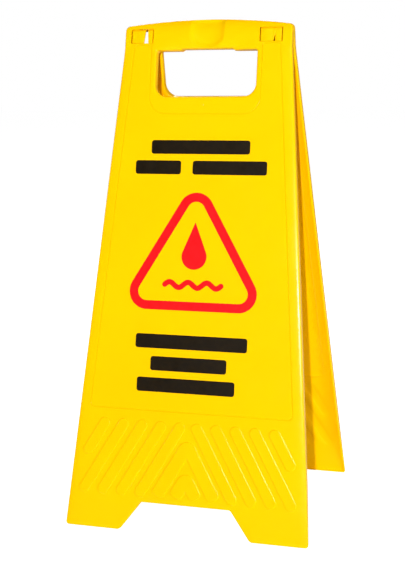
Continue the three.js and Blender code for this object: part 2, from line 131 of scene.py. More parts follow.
# each tongue: its two sides at the foot, and how far the two sides move across towards the top
TONGUES = ((-88.2, -79.6, 0.0, 2.0), (-73.9, -72.7, -1.0, 0.0), (79.8, 80.8, 0.0, 4.0))
FINGER_FACE, FINGER_LOW, FINGER_HIGH = 0.6, 587.9, 604.2
TONGUE_THICK, TONGUE_BEND = 2.5, 1.8
KNUCKLES = ((-98.8, -96.0), (-66.9, -62.9), (60.1, 64.1), (92.6, 98.8))
SNAP_SLOT = 4.4
WEB_WIDTH, WEB_SHORT, WEB_ROUND, WEB_SPARE = 5.0, 3.5, 0.5, 0.1
HOOK_EDGE, TONGUE_EDGE, WEB_EDGE, KNUCKLE_EDGE, PIN_EDGE = 0.5, 0.25, 0.2, 0.4, 0.5

HINGE_IN = (HALF_SPREAD - GRIP_UP * math.sin(LEAN)) / math.cos(LEAN)
DEPTH = HINGE_IN - GAP / 2

MARK_LIFT, MARK_THICK, MARK_ROUND = 0.08, 0.12, 3.0
FRAME_OUTER, FRAME_INNER = 22.0, 11.2

# ------------------------------------------------------------------ stage and viewpoint, in metres
FLOOR_SIZE, FLOOR_DROP = 30, 0.0005
AIM = Vector((0, 0, 0.3))
SENSOR_MM, LENS_MM = 36.0, 73.04
VIEW_FROM = (0.38445, -1.3654, 0.53897)
VIEW_YAW, VIEW_PITCH, VIEW_ROLL = math.radians(16.19), math.radians(10.4), math.radians(-0.6)
# how strongly a backdrop lights the sign, and how bright it looks to the camera
BACKDROP, FLOOR_GLOW = (0.1, 1.0), (0.0, 0.9)


def to_world(u, w, d, side):
    """A point of a leaf, in metres. side is 1 for the front leaf and -1 for the rear one."""
    y = -HALF_SPREAD + w * math.sin(LEAN) + d * math.cos(LEAN)
    z = w * math.cos(LEAN) - d * math.sin(LEAN)
    return np.stack([side * u, side * y, z], axis=-1) * MM


# ------------------------------------------------------------------ outlines
def turn_at(corners, index):
    """Unit directions into and out of a corner, and the signed turn between them."""
    before, here, after = (np.array(corners[(index + k) % len(corners)][:2]) for k in (-1, 0, 1))
    incoming = (here - before) / np.linalg.norm(here - before)
    outgoing = (after - here) / np.linalg.norm(after - here)
    cross = incoming[0] * outgoing[1] - incoming[1] * outgoing[0]
    return incoming, outgoing, math.atan2(cross, float(incoming @ outgoing))


def inset(corners, distance):
    """Moves each edge of a counter-clockwise outline inward, keeping its rounds concentric."""
    moved = []
    for index, (x, y, radius) in enumerate(corners):
        incoming, outgoing, turn = turn_at(corners, index)
        bisector = np.array([-incoming[1] - outgoing[1], incoming[0] + outgoing[0]])
        shift = bisector * 2 * distance / float(bisector @ bisector)
        if radius > 0:
            radius = max(radius - math.copysign(distance, turn), SMALLEST_ROUND)
        moved.append((x + shift[0], y + shift[1], radius))
    return moved


def trace(corners, plan, spacing=EDGE_SPACING):
    """Dense points round an outline. plan is an outline whose point counts are followed."""
    bends = []
    count = len(corners)
    for index in range(count):
        x, y, radius = corners[index]
        incoming, outgoing, turn = turn_at(corners, index)
        here = np.array([x, y])
        bend = []
        if radius > 0:
            start = here - incoming * radius * math.tan(abs(turn) / 2)
            centre = start + np.array([-incoming[1], incoming[0]]) * math.copysign(radius, turn)
            planned = abs(turn) * max(plan[index][2], SMALLEST_ARC_PLAN)
            steps = max(FEWEST_ARC_STEPS, math.ceil(planned / ARC_SPACING))
            for step in range(steps + 1):
                angle = turn * step / steps
                spoke = start - centre
                cos, sin = math.cos(angle), math.sin(angle)
                bend.append(centre + [spoke[0] * cos - spoke[1] * sin, spoke[0] * sin + spoke[1] * cos])
        else:
            bend.append(here)
        bends.append(bend)
    loop = []
    for index in range(count):
        loop.extend(bends[index])
        following = (index + 1) % count
        span = np.hypot(plan[following][0] - plan[index][0], plan[following][1] - plan[index][1])
        steps = max(1, round(span / spacing))
        first, last = bends[index][-1], bends[following][0]
        loop.extend(first + (last - first) * step / steps for step in range(1, steps))
    return np.array(loop)


def half_width(w):
    return FOOT_HALF - SIDE_TAPER * np.minimum(w, TAPER_TOP)


def leaf_outline():
    shoulder = float(half_width(TAPER_TOP))

    def arch(u):
        return CROWN - ARCH_DROP * u * u

    steps = round(2 * (shoulder - ARCH_STEP) / ARCH_STEP)
    crown = [shoulder - ARCH_STEP - 2 * (shoulder - ARCH_STEP) * k / steps for k in range(steps + 1)]
    return [
        (-FOOT_HALF, 0, FOOT_ROUND),
        (-FOOT_CUT_FLOOR, 0, FOOT_CUT_FLOOR_ROUND),
        (-FOOT_CUT_TOP, FOOT_CUT_HEIGHT, FOOT_CUT_TOP_ROUND),
        (FOOT_CUT_TOP, FOOT_CUT_HEIGHT, FOOT_CUT_TOP_ROUND),
        (FOOT_CUT_FLOOR, 0, FOOT_CUT_FLOOR_ROUND),
        (FOOT_HALF, 0, FOOT_ROUND),
        (shoulder, TAPER_TOP, 0),
        (shoulder, arch(shoulder), SHOULDER_ROUND),
        *[(u, arch(u), 0) for u in crown],
        (-shoulder, arch(shoulder), SHOULDER_ROUND),
        (-shoulder, TAPER_TOP, 0),
    ]


def opening_outline():
    notch_end = NOTCH_HALF + NOTCH_SLOPE
    notch_top = OPENING_HIGH + NOTCH_HEIGHT
    return [
        (-OPENING_HALF, OPENING_LOW, OPENING_ROUND),
        (OPENING_HALF, OPENING_LOW, OPENING_ROUND),
        (OPENING_HALF, OPENING_HIGH, OPENING_TOP_ROUND),
        (notch_end, OPENING_HIGH, 0),
        (NOTCH_HALF, notch_top, 0),
        (-NOTCH_HALF, notch_top, 0),
        (-notch_end, OPENING_HIGH, 0),
        (-OPENING_HALF, OPENING_HIGH, OPENING_TOP_ROUND),
    ]


def label_outline():
    low_half = half_width(LABEL_LOW) - LABEL_MARGIN
    high_half = half_width(LABEL_HIGH) - LABEL_MARGIN
    return [
        (-low_half, LABEL_LOW, LABEL_ROUND),
        (low_half, LABEL_LOW, LABEL_ROUND),
        (high_half, LABEL_HIGH, LABEL_EAR_ROUND),
        (LABEL_INNER_HALF, LABEL_HIGH, LABEL_EAR_ROUND),
        (LABEL_INNER_HALF, LABEL_INNER_LOW, LABEL_INNER_ROUND),
        (-LABEL_INNER_HALF, LABEL_INNER_LOW, LABEL_INNER_ROUND),
        (-LABEL_INNER_HALF, LABEL_HIGH, LABEL_EAR_ROUND),
        (-high_half, LABEL_HIGH, LABEL_EAR_ROUND),
    ]


def rectangle(left, right, low, high, radius):
    return [(left, low, radius), (right, low, radius), (right, high, radius), (left, high, radius)]


def capsule(start, end):
    start, end = np.array(start), np.array(end)
    along = (end - start) / np.linalg.norm(end - start) * PAD_HALF
    across = np.array([-along[1], along[0]])
    ends = [start - along - across, end + along - across, end + along + across, start - along + across]
    return [(x, y, PAD_END_ROUND) for x, y in ends]


def chevron(apex):
    low = PAD_LOW - PAD_HALF / 2
    foot = (apex - low) * math.tan(PAD_LEAN)
    out_x, out_y = math.cos(PAD_LEAN) * CHEVRON_HALF, math.sin(PAD_LEAN) * CHEVRON_HALF
    rise = CHEVRON_HALF / math.sin(PAD_LEAN)
    return [
        (-foot - out_x, low + out_y, CHEVRON_END_ROUND),
        (-foot + out_x, low - out_y, CHEVRON_END_ROUND),
        (0, apex - rise, CHEVRON_INNER_ROUND),
        (foot - out_x, low - out_y, CHEVRON_END_ROUND),
        (foot + out_x, low + out_y, CHEVRON_END_ROUND),
        (0, apex + rise, CHEVRON_ROUND),
    ]


def pad_outlines():
    outlines = [chevron(apex) for apex in CHEVRON_APEXES]
    slope = math.tan(PAD_LEAN)
    for pad in range(LONG_PADS + 1):
        top = PAD_FIRST + pad * PAD_PITCH
        low = PAD_LOW if pad < LONG_PADS else SHORT_PAD_LOW
        foot = top + (PAD_TOP - low) * slope
        outlines.append(capsule((top, PAD_TOP), (foot, low)))
        outlines.append(capsule((-foot, low), (-top, PAD_TOP)))
    return outlines


# ------------------------------------------------------------------ height of the two skins
def smooth_step(x):
    x = np.clip(x, 0, 1)
    return x * x * (3 - 2 * x)


def oval(w, wall):
    reach = np.clip((w - GRIP_UP) / (GRIP_HALF - wall), -1, 1)
    return DEPTH - (DEPTH - wall) * np.sqrt(1 - reach ** 2)


def dish(u, w):
    """Extra depth of the thumb hollow: steep at its sides and round at its lower end."""
    below = np.minimum(w - GRIP_UP, 0) / DISH_LOW_REACH
    reach = (u / DISH_HALF) ** 2 + below ** 2
    return DISH_DEPTH * np.maximum(1 - reach ** 2, 0)


def skin(u, w, wall=0.0):
    """Depth of the outer skin below the flat face plane, or of the inner skin for a wall."""
    above = w >= GRIP_UP
    inside = smooth_step((OPENING_HALF - np.abs(u)) / GRIP_BLEND)
    inside = np.where(w > (OPENING_LOW + OPENING_HIGH) / 2, inside, 0)
    depth = wall + (oval(w, wall) - wall) * np.where(above, 1.0, inside)
    depth = depth + dish(u, w) * (w > OPENING_HIGH)
    side = (half_width(w) - np.abs(u)) / LABEL_MARGIN
    low = smooth_step((LABEL_HIGH - w) / LABEL_MARGIN)
    roll = MARGIN_ROLL * np.clip(1 - side, 0, 1) ** 2 * low
    return depth + roll * (1 if wall == 0 else INNER_ROLL_SHARE)


def rim_depth(w):
    """Where the rim ends: at the plane the leaves share near the top, and shallower at the feet."""
    stop = (HALF_SPREAD - GAP / 2 - w * math.sin(LEAN)) / math.cos(LEAN)
    foot = FOOT_RIM_DEPTH + (DEPTH - FOOT_RIM_DEPTH) * np.maximum(w, 0) / FOOT_RIM_FULL_AT
    return np.minimum(np.minimum(DEPTH, stop), foot)


def skin_within(u, w, wall):
    """The skin's depth, kept clear of the end of the rim."""
    return np.minimum(skin(u, w, wall), rim_depth(w) - (INNER_SPARE if wall else OUTER_SPARE))


# ------------------------------------------------------------------ mesh building
class Shell:
    """Collects points and faces of one piece, then makes its object."""

    def __init__(self):
        self.points, self.faces, self.count = [], [], 0

    def add(self, points):
        points = np.asarray(points, dtype=float)
        indices = np.arange(self.count, self.count + len(points))
        self.points.append(points)
        self.count += len(points)
        return indices

    def bridge(self, first, second):
        size = len(first)
        for k in range(size):
            following = (k + 1) % size
            self.faces.append((first[k], first[following], second[following], second[k]))

    def make(self, name, material, body, nodes):
        mesh = bpy.data.meshes.new(name)
        points = np.concatenate(self.points)
        mesh.from_pydata(points.tolist(), [], [tuple(int(i) for i in face) for face in self.faces])
        piece = bpy.data.objects.new(name, mesh)
        bpy.context.scene.collection.objects.link(piece)
        finish_mesh(mesh)
        mesh.materials.append(material)
        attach(piece, body)
        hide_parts(*nodes)
        return piece


def finish_mesh(mesh):
    """Turns all faces outward and shades them smooth, except across sharp edges."""
    work = bmesh.new()
    work.from_mesh(mesh)
    bmesh.ops.recalc_face_normals(work, faces=work.faces)
    for face in work.faces:
        face.smooth = True
    work.to_mesh(mesh)
    work.free()
    mesh.set_sharp_from_angle(angle=SHARP_ANGLE)


def inside(points, loop):
    """Which points lie inside a closed loop."""
    x, y = points[:, 0][:, None], points[:, 1][:, None]
    x0, y0 = loop[:, 0][None], loop[:, 1][None]
    x1, y1 = np.roll(loop[:, 0], -1)[None], np.roll(loop[:, 1], -1)[None]
    crosses = (y0 > y) != (y1 > y)
    reach = x0 + (y - y0) * (x1 - x0) / np.where(y1 == y0, 1e-9, y1 - y0)
    return (crosses & (x < reach)).sum(axis=1) % 2 == 1


def nearest(points, others):
    """Distance from each point to the closest of the others."""
    found = np.full(len(points), np.inf)
    for start in range(0, len(others), 500):
        part = others[start:start + 500]
        gaps = np.hypot(points[:, 0][:, None] - part[:, 0], points[:, 1][:, None] - part[:, 1])
        found = np.minimum(found, gaps.min(axis=1))
    return found


def scatter(low, high, spacing):
    """Points on a grid of equal triangles between two corners."""
    rows = np.arange(low[1] + spacing / 3, high[1], spacing * math.sqrt(3) / 2)
    columns = np.arange(low[0] + spacing / 3, high[0], spacing)
    grid = [np.stack([columns + (k % 2) * spacing / 2, np.full(len(columns), row)], axis=-1)
            for k, row in enumerate(rows)]
    return np.concatenate(grid)


def fill(boundary, holes, features, spots):
    """Triangles between loops. Returns points, triangles and each input's output index."""
    loops = [boundary, *holes, *features]
    fixed = np.concatenate(loops)
    edges, start = [], 0
    for loop in loops:
        size = len(loop)
        edges.extend((start + k, start + (k + 1) % size) for k in range(size))
        start += size
    everything = np.concatenate([fixed, spots]) if len(spots) else fixed
    result = delaunay_2d_cdt([Vector(p) for p in everything], edges, [], 0, MERGE_WITHIN)
    points = np.array([tuple(p) for p in result[0]])
    triangles = np.array(result[2])
    middles = points[triangles].mean(axis=1)
    sides = points[triangles[:, 1:]] - points[triangles[:, :1]]
    area = np.abs(sides[:, 0, 0] * sides[:, 1, 1] - sides[:, 0, 1] * sides[:, 1, 0]) / 2
    keep = inside(middles, boundary) & (area > SLIVER)
    for hole in holes:
        keep &= ~inside(middles, hole)
    index = np.zeros(len(everything), dtype=int)
    for position, originals in enumerate(result[3]):
        for original in originals:
            index[original] = position
    return points, triangles[keep], index


# ------------------------------------------------------------------ one moulded leaf
def relief_loops(for_inner):
    """Loops that carry the label line, the pads and the moulding point, each with its depth.

    A step is how far inside an outline its loop lies, and how deep it lies below the face. The
    moulding point's steps are shares of its radius and of its height.
    """
    loops = []
    if for_inner:
        line_steps = ((-0.8, 0), (0, 0.45), (0.8, 0))
        pad_steps = ((1.0, 0), (1.4, -0.2), (1.8, -PAD_SINK))
    else:
        line_steps = ((-LINE_HALF - 0.6, 0), (-LINE_HALF, 0), (-LINE_HALF * 0.6, LINE_DEPTH * 0.8),
                      (0, LINE_DEPTH), (LINE_HALF * 0.6, LINE_DEPTH * 0.8), (LINE_HALF, 0),
                      (LINE_HALF + 0.6, 0))
        pad_steps = ((-0.9, 0), (-0.25, 0), (0, -PAD_HEIGHT * 0.06), (0.2, -PAD_HEIGHT * 0.75),
                     (0.4, -PAD_HEIGHT * 0.95), (0.7, -PAD_HEIGHT), (1.4, -PAD_HEIGHT))
    label = label_outline()
    for distance, depth in line_steps:
        loops.append((trace(inset(label, distance), label, RELIEF_SPACING), depth))
    for outline in pad_outlines():
        for distance, depth in pad_steps:
            loops.append((trace(inset(outline, distance), outline, RELIEF_SPACING), depth))
    if not for_inner:
        for share, height in ((1.3, 0), (1, 0), (0.7, 1), (0.4, 0.8), (0.2, -0.5)):
            circle = arc(GATE_PLACE, GATE_RADIUS * share, 0, 360, 17)[:-1]
            loops.append((circle, -GATE_HEIGHT * height))
    return loops


def face_points(edge_loops, features):
    """Loose points that fill a face: coarse on the panel, finer in the margins and over the grip."""
    label = trace(label_outline(), label_outline())
    panel_top = OPENING_LOW - LABEL_INNER_ROUND
    grip_low = OPENING_HIGH - FINE_BELOW_OPENING_TOP
    coarse = scatter((-FOOT_HALF, 0), (FOOT_HALF, panel_top), COARSE_SPACING)
    coarse = coarse[inside(coarse, label) | (coarse[:, 1] < LABEL_LOW)]
    margin = scatter((-FOOT_HALF, LABEL_LOW), (FOOT_HALF, grip_low), MARGIN_SPACING)
    margin = margin[~inside(margin, label) | (margin[:, 1] > panel_top)]
    fine = scatter((-FOOT_HALF, grip_low), (FOOT_HALF, CROWN), FINE_SPACING)
    near = np.concatenate(edge_loops + features)
    kept = []
    for spots, clear in ((coarse, COARSE_CLEAR), (margin, MARGIN_CLEAR), (fine, FINE_CLEAR)):
        spots = spots[inside(spots, edge_loops[0])]
        for hole in edge_loops[1:]:
            spots = spots[~inside(spots, hole)]
        kept.append(spots[nearest(spots, near) > clear])
    return np.concatenate(kept)


def add_face(shell, side, edge_loops, edge_indices, wall):
    """One skin of the leaf, joined to the loops already made round its edges."""
    relief = relief_loops(for_inner=wall > 0)
    features = [loop for loop, _ in relief]
    spots = face_points(edge_loops, features)
    points, triangles, index = fill(edge_loops[0], edge_loops[1:], features, spots)
    depth_of = np.zeros(len(points))
    start = sum(len(loop) for loop in edge_loops)
    for loop, depth in relief:
        depth_of[index[start:start + len(loop)]] = depth
        start += len(loop)
    lift = PAD_SINK if wall else PAD_HEIGHT
    free = depth_of == 0
    for loop in (loop for loop, depth in relief if depth == -lift):
        depth_of[free & inside(points, loop)] = -lift
    u, w = points[:, 0], points[:, 1]
    depth = skin_within(u, w, wall) + depth_of
    target = np.full(len(points), -1)
    start = 0
    for indices in edge_indices:
        target[index[start:start + len(indices)]] = indices
        start += len(indices)
    new = target < 0
    w = lift_from_floor(w, depth, wall)
    target[new] = shell.add(to_world(u[new], w[new], depth[new], side))
    shell.faces.extend(tuple(target[triangle]) for triangle in triangles)


def lift_from_floor(w, depth, above):
    """Keeps every point at least that far above the floor, so that the soles are flat."""
    return np.maximum(w, (above + depth * math.sin(LEAN)) / math.cos(LEAN))


def rim_section():
    """Steps from the outer skin over the rim to the inner skin.

    Each is the part it lies on, how far inside the outline, and a depth, or a share of the way.
    """
    quarter = [math.radians(a) for a in (0, 18, 36, 54, 72, 90)]
    steps = [("outer", EDGE_ROUND * (1 - math.sin(a)), EDGE_ROUND * (1 - math.cos(a))) for a in quarter]
    steps += [("wall", 0, 0.33), ("wall", 0, 0.67)]
    for a in quarter[::2] + [quarter[-1]]:
        steps.append(("rim", RIM_ROUND * (1 - math.cos(a)), RIM_ROUND * (1 - math.sin(a))))
    for a in quarter[::2] + [quarter[-1]]:
        steps.append(("rim", WALL - RIM_ROUND * (1 - math.sin(a)), RIM_ROUND * (1 - math.cos(a))))
    steps += [("inner_wall", WALL, 0.5)]
    steps += [("inner", WALL + INNER_ROUND * (1 - math.cos(a)), INNER_ROUND * (1 - math.sin(a)))
              for a in quarter[::2] + [quarter[-1]]]
    return steps


def add_rim(shell, side, corners, sign):
    """Wraps the rim section round an outline. sign is -1 for a hole, whose walls lie outside."""
    loops, indices = [], []
    section = rim_section()
    for number, (part, distance, value) in enumerate(section):
        loop = trace(inset(corners, sign * distance), corners)
        u, w = loop[:, 0], loop[:, 1]
        end = rim_depth(w)
        outer = skin_within(u, w, 0.0)
        inner = skin_within(u, w, WALL)
        room = end - outer
        squeeze = np.minimum(1, EDGE_ROUND_SHARE * room / EDGE_ROUND)
        if part == "outer":
            depth = outer + value * squeeze
        elif part == "wall":
            near = outer + EDGE_ROUND * squeeze
            depth = near + (end - RIM_ROUND * squeeze - near) * value
        elif part == "rim":
            depth = end - value * np.minimum(squeeze, (end - inner) / (2 * RIM_ROUND))
        elif part == "inner_wall":
            depth = end - (end - inner) * value
        else:
            depth = inner + value * np.minimum(1, INNER_ROUND_SHARE * (end - inner) / INNER_ROUND)
        w = lift_from_floor(w, depth, min(distance, WALL))
        loops.append(loop)
        indices.append(shell.add(to_world(u, w, depth, side)))
    for first, second in zip(indices, indices[1:]):
        shell.bridge(first, second)
    return loops[0], indices[0], loops[-1], indices[-1]


def add_window(shell, side, corners):
    """A sharp-edged hole straight through both skins."""
    outer = trace(corners, corners, FINGER_SPACING)
    levels = []
    u, w = outer[:, 0], outer[:, 1]
    for share in (0, 1):
        depth = skin_within(u, w, WALL if share else 0.0)
        levels.append(shell.add(to_world(u, w, depth, side)))
    shell.bridge(levels[0], levels[1])
    return outer, levels[0], levels[1]


def leaf(name, side, windows, material):
    shell = Shell()
    edge = add_rim(shell, side, leaf_outline(), 1)
    hand = add_rim(shell, side, opening_outline(), -1)
    top = WINDOW_HIGH if side > 0 else SLOT_HIGH
    cuts = [add_window(shell, side, rectangle(left, right, WINDOW_LOW, top, WINDOW_ROUND))
            for left, right in windows]
    add_face(shell, side, [edge[0], hand[0], *[cut[0] for cut in cuts]],
             [edge[1], hand[1], *[cut[1] for cut in cuts]], 0.0)
    add_face(shell, side, [edge[2], hand[2], *[cut[0] for cut in cuts]],
             [edge[3], hand[3], *[cut[2] for cut in cuts]], WALL)
    return shell.make(f"{name}_leaf_moulding", material, name, [f"{name}_leaf"])


# ------------------------------------------------------------------ hinge fingers and pins
def rounded_plate(shell, outline, holes, from_u, to_u, side, edge, flare=(0, 0)):
    """A plate with a rounded rim: outlines in (depth, up), carried across from_u to to_u.

    The flare is how far each side moves across from the foot of a finger to its top.
    """
    rounds = [math.radians(a) for a in (0, 30, 60, 90)]
    section = [(edge * (1 - math.sin(a)), from_u + edge * (1 - math.cos(a)), flare[0]) for a in rounds]
    section += [(edge * (1 - math.cos(a)), to_u - edge * (1 - math.sin(a)), flare[1]) for a in rounds]
    ends = []
    for loop, sign in [(outline, 1), *[(hole, -1) for hole in holes]]:
        levels = []
        for distance, u, shift in section:
            ring = shrink(loop, sign * distance)
            across = u + shift * (ring[:, 1] - FINGER_LOW) / (FINGER_HIGH - FINGER_LOW)
            levels.append(shell.add(to_world(across, ring[:, 1], ring[:, 0], side)))
        for first, second in zip(levels, levels[1:]):
            shell.bridge(first, second)
        ends.append((shrink(loop, sign * edge), levels[0], levels[-1]))
    loops = [end[0] for end in ends]
    _, triangles, index = fill(loops[0], loops[1:], [], np.zeros((0, 2)))
    back = np.argsort(index)
    for which in (1, 2):
        indices = np.concatenate([end[which] for end in ends])
        shell.faces.extend(tuple(indices[back[triangle]]) for triangle in triangles)


def shrink(loop, distance):
    """Moves each point of a counter-clockwise loop inward along its normal."""
    along = np.roll(loop, -1, axis=0) - np.roll(loop, 1, axis=0)
    along /= np.linalg.norm(along, axis=1)[:, None]
    return loop + np.stack([-along[:, 1], along[:, 0]], axis=-1) * distance


def subdivided(loop, longest):
    """The same loop with extra points on every edge longer than that."""
    points = []
    for here, following in zip(loop, np.roll(loop, -1, axis=0)):
        steps = max(1, math.ceil(np.linalg.norm(following - here) / longest))
        points.extend(here + (following - here) * step / steps for step in range(steps))
    return np.array(points)


def arc(centre, radius, start, end, steps):
    angles = np.radians(np.linspace(start, end, steps))
    return np.stack([centre[0] + radius * np.cos(angles), centre[1] + radius * np.sin(angles)], axis=-1)


def hook_outline():
    """Open ring round a pin, with a flat front in line with the front leaf's face."""
    centre = (HINGE_IN, GRIP_UP)
    bore = PIN_RADIUS + GAP
    mouth = -90 + math.degrees(2 * LEAN)
    outer_angle = math.degrees(math.asin(SNAP_SLOT / 2 / HOOK_RADIUS))
    inner_angle = math.degrees(math.asin(SNAP_SLOT / 2 / bore))
    front_angle = math.degrees(math.acos((HINGE_IN - FINGER_FACE) / FINGER_RADIUS))
    low_angle = math.degrees(math.asin((GRIP_UP - FINGER_LOW) / HOOK_RADIUS))
    back = arc(centre, HOOK_RADIUS, mouth + outer_angle, 90, 34)
    brow = arc(centre, FINGER_RADIUS, 90, 180 - front_angle, 16)
    corner = np.array([[FINGER_FACE, FINGER_LOW]])
    under = arc(centre, HOOK_RADIUS, 180 + low_angle, mouth + 360 - outer_angle, 13)
    inner = arc(centre, bore, mouth + 360 - inner_angle, mouth + inner_angle, 16)
    return subdivided(np.concatenate([back, brow, corner, under, inner]), 1.0)


def tongue_outline():
    """Thin front of a finger, beside its ring."""
    back = FINGER_FACE + TONGUE_THICK
    bend = FINGER_HIGH - TONGUE_BEND
    reach = [math.sqrt(FINGER_RADIUS ** 2 - (up - GRIP_UP) ** 2) for up in (FINGER_HIGH, bend)]
    corners = [(FINGER_FACE, FINGER_LOW), (back, FINGER_LOW), (back, FINGER_HIGH),
               (HINGE_IN - reach[0], FINGER_HIGH), (HINGE_IN - reach[1], bend)]
    return subdivided(np.array(corners), 1.0)


def web_outline():
    """Rib from the panel to the ring."""
    corners = rectangle(WALL / 2, HINGE_IN - WEB_SHORT, GRIP_UP - KNUCKLE_RADIUS,
                        GRIP_UP + KNUCKLE_RADIUS, WEB_ROUND)
    return trace(corners, corners, FINGER_SPACING)


def knuckle_outline():
    """Ear that holds a pin: a rib with a round end."""
    nose = arc((HINGE_IN, GRIP_UP), KNUCKLE_RADIUS, -90, 90, 32)
    root = np.array([[WALL / 2, GRIP_UP + KNUCKLE_RADIUS], [WALL / 2, GRIP_UP - KNUCKLE_RADIUS]])
    return np.concatenate([nose, root])


def hinge_fingers(material):
    hooks = Shell()
    for left, right in HOOKS:
        rounded_plate(hooks, hook_outline(), [], left, right, 1, HOOK_EDGE)
        root = max(-right, -left - WEB_WIDTH)
        rounded_plate(hooks, web_outline(), [], root + WEB_SPARE, -left - WEB_SPARE, -1, WEB_EDGE)
    for left, right, *flare in TONGUES:
        rounded_plate(hooks, tongue_outline(), [], left, right, 1, TONGUE_EDGE, flare)
    hooks.make("rear_hinge_hooks", material, "rear", ["rear_leaf"])
    ears = Shell()
    bore = arc((HINGE_IN, GRIP_UP), PIN_RADIUS + GAP, 0, 360, 33)[:-1]
    for left, right in KNUCKLES:
        rounded_plate(ears, knuckle_outline(), [bore], left, right, 1, KNUCKLE_EDGE)
    ears.make("front_hinge_knuckles", material, "front", ["front_leaf"])


def hinge_pins(material):
    for node in ("hinge_pin_left_a", "hinge_pin_left_b", "hinge_pin_right_a", "hinge_pin_right_b"):
        low, high = (np.array(corner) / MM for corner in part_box(node))
        shell = Shell()
        circle = arc((HINGE_IN, GRIP_UP), PIN_RADIUS, 0, 360, 41)[:-1]
        rounded_plate(shell, circle, [], low[0], high[0], 1, PIN_EDGE)
        shell.make(node + "_rod", material, "front", [node])


# ------------------------------------------------------------------ printed marks
def leaf_extent(node, side):
    """Lowest and highest (u, w) of a mark, from its CAD box."""
    low, high = (np.array(corner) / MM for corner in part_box(node))
    lift = (MARK_LIFT + MARK_THICK) * math.sin(LEAN)
    across = sorted((side * low[0], side * high[0]))
    return across[0], across[1], (low[2] - lift) / math.cos(LEAN), (high[2] - lift) / math.cos(LEAN)


def mark(name, side, loops, material):
    """A thin layer of ink that follows the leaf's outer skin, with an even edge."""
    shell = Shell()
    boundary, holes = loops[0], loops[1:]
    low, high = boundary.min(axis=0), boundary.max(axis=0)
    spots = scatter(low, high, MARK_SPACING)
    spots = spots[inside(spots, boundary)]
    for hole in holes:
        spots = spots[~inside(spots, hole)]
    spots = spots[nearest(spots, np.concatenate(loops)) > MARK_CLEAR]
    points, triangles, index = fill(boundary, holes, [], spots)
    u, w = points[:, 0], points[:, 1]
    base = skin(u, w) - MARK_LIFT
    under = shell.add(to_world(u, w, base, side))
    over = shell.add(to_world(u, w, base - MARK_THICK, side))
    shell.faces.extend(tuple(over[triangle]) for triangle in triangles)
    shell.faces.extend(tuple(under[triangle]) for triangle in triangles)
    start = 0
    for loop in loops:
        ring = index[start:start + len(loop)]
        shell.bridge(under[ring], over[ring])
        start += len(loop)
    body = "front" if side > 0 else "rear"
    return shell.make(f"{name}_ink", material, body, [name])


def triangle_loop(left, right, low, high, reach, outer):
    """Three-sided frame with round corners, at a distance from its corner centres."""
    half = (right - left) / 2 - outer
    centre = (left + right) / 2
    corners = [(centre - half, low + outer, 0), (centre + half, low + outer, 0), (centre, high - outer, 0)]
    grown = [(x, y, reach) for x, y, _ in inset(corners, -reach)]
    return trace(grown, grown, RELIEF_SPACING)


def drop_loop(left, right, low, high):
    radius = (right - left) / 2
    middle = (left + right) / 2
    contact = math.degrees(math.acos(radius / (high - low - radius)))
    bowl = arc((middle, low + radius), radius, 90 + contact, 450 - contact, 48)
    tip = np.array([[middle, high]])
    return np.concatenate([tip, bowl])


def wave_loop(left, right, low, high, crests=3, steps=72):
    """Wavy stroke of even width with round ends."""
    radius = (high - low) / 4
    share = np.linspace(0, 1, steps)
    x = left + radius + (right - left - 2 * radius) * share
    y = (low + high) / 2 + radius * np.sin(2 * math.pi * crests * share)
    middle = np.stack([x, y], axis=-1)
    along = np.gradient(middle, axis=0)
    heading = np.degrees(np.arctan2(along[:, 1], along[:, 0]))
    across = np.stack([along[:, 1], -along[:, 0]], axis=-1)
    across *= radius / np.linalg.norm(along, axis=1)[:, None]
    far_end = arc(middle[-1], radius, heading[-1] - 90, heading[-1] + 90, 11)[1:-1]
    near_end = arc(middle[0], radius, heading[0] + 90, heading[0] + 270, 11)[1:-1]
    return np.concatenate([middle + across, far_end, (middle - across)[::-1], near_end])


def printed_marks(black, red):
    for leaf_name, side in (("front", 1), ("rear", -1)):
        for number in range(1, 7):
            node = f"{leaf_name}_text_bar_{number}"
            bar = rectangle(*leaf_extent(node, side), MARK_ROUND)
            mark(node, side, [trace(bar, bar, MARK_SPACING)], black)
        node = f"{leaf_name}_warning_triangle"
        extent = leaf_extent(node, side)
        rings = [triangle_loop(*extent, reach, FRAME_OUTER) for reach in (FRAME_OUTER, FRAME_INNER)]
        mark(node, side, rings, red)
        node = f"{leaf_name}_drop_symbol"
        mark(node, side, [drop_loop(*leaf_extent(node, side))], red)
        node = f"{leaf_name}_floor_wave"
        mark(node, side, [wave_loop(*leaf_extent(node, side))], red)


# ------------------------------------------------------------------ materials
def material_nodes(name):
    material = bpy.data.materials.new(name)
    material.use_nodes = True
    tree = material.node_tree
    shader = tree.nodes["Principled BSDF"]
    return material, tree, shader


def noise_field(tree, scale, detail=3.0, distortion=0.0):
    place = tree.nodes.new("ShaderNodeTexCoord")
    field = tree.nodes.new("ShaderNodeTexNoise")
    field.inputs["Scale"].default_value = scale
    field.inputs["Detail"].default_value = detail
    field.inputs["Distortion"].default_value = distortion
    tree.links.new(place.outputs["Object"], field.inputs["Vector"])
    return field.outputs["Fac"]


def ramp(tree, source, stops):
    node = tree.nodes.new("ShaderNodeValToRGB")
    elements = node.color_ramp.elements
    elements[0].position, elements[0].color = stops[0][0], (*stops[0][1], 1)
    elements[1].position, elements[1].color = stops[-1][0], (*stops[-1][1], 1)
    for position, colour in stops[1:-1]:
        elements.new(position).color = (*colour, 1)
    tree.links.new(source, node.inputs["Fac"])
    return node.outputs["Color"]


def spread(tree, source, low, high):
    node = tree.nodes.new("ShaderNodeMapRange")
    node.inputs["From Min"].default_value = 0.3
    node.inputs["From Max"].default_value = 0.7
    node.inputs["To Min"].default_value = low
    node.inputs["To Max"].default_value = high
    tree.links.new(source, node.inputs["Value"])
    return node.outputs["Result"]


